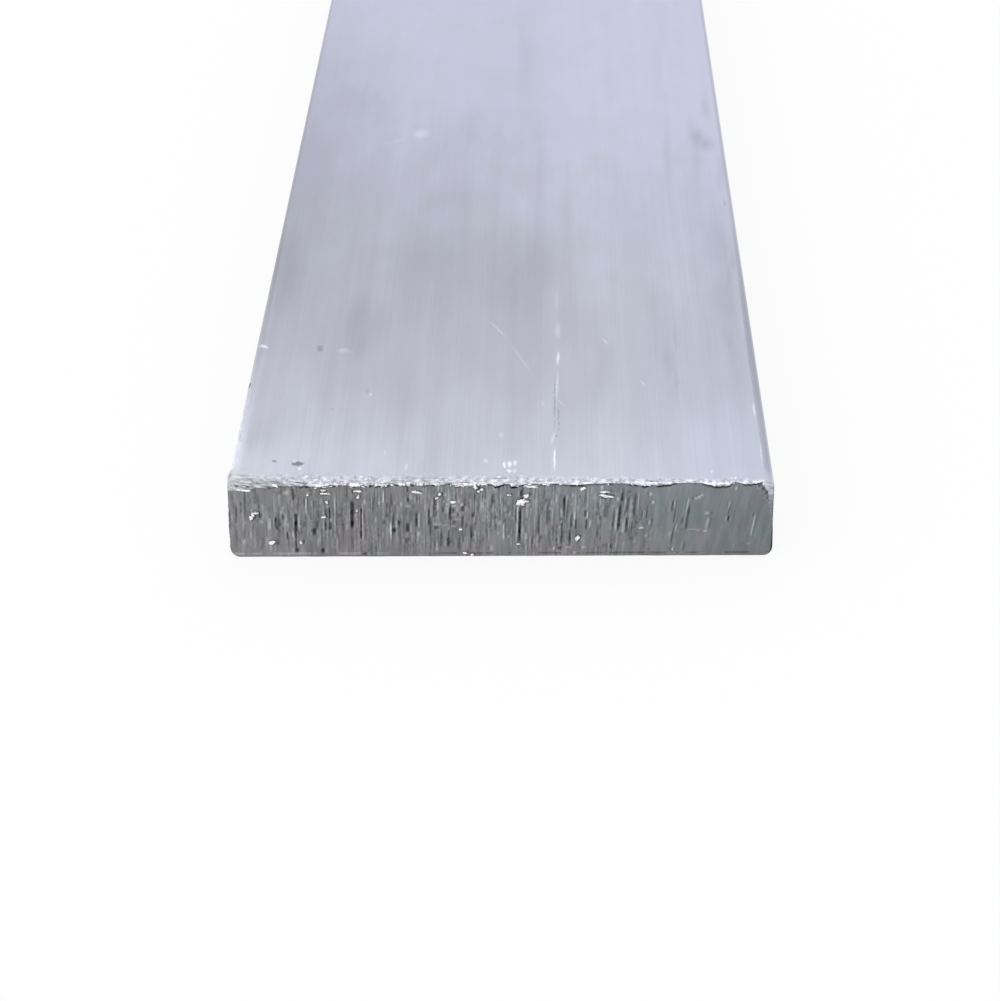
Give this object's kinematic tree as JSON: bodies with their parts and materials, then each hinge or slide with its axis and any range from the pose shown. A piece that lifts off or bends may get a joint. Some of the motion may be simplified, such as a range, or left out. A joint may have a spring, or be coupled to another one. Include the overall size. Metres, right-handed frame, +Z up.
{
  "type": "metal flat bar",
  "caption": "Rectangular aluminium flat bar with softly rounded long edges and sawn ends, lying flat; stock for brackets, frames and machined parts.",
  "frame": {"origin": "middle of the underside, on the surface that the bar lies on", "axes": "+Y along the length, from the near sawn end with the eased corners to the far end; +X across the width; +Z up through the thickness"},
  "size_m": [0.05, 0.5, 0.008],
  "materials": {
    "mill_aluminium": "mill finish with faint lengthwise drawing lines, light handling marks and coarse saw marks on the ends"
  },
  "bodies": {
    "root": {"flat_bar": "mill_aluminium"}
  },
  "joints": []
}
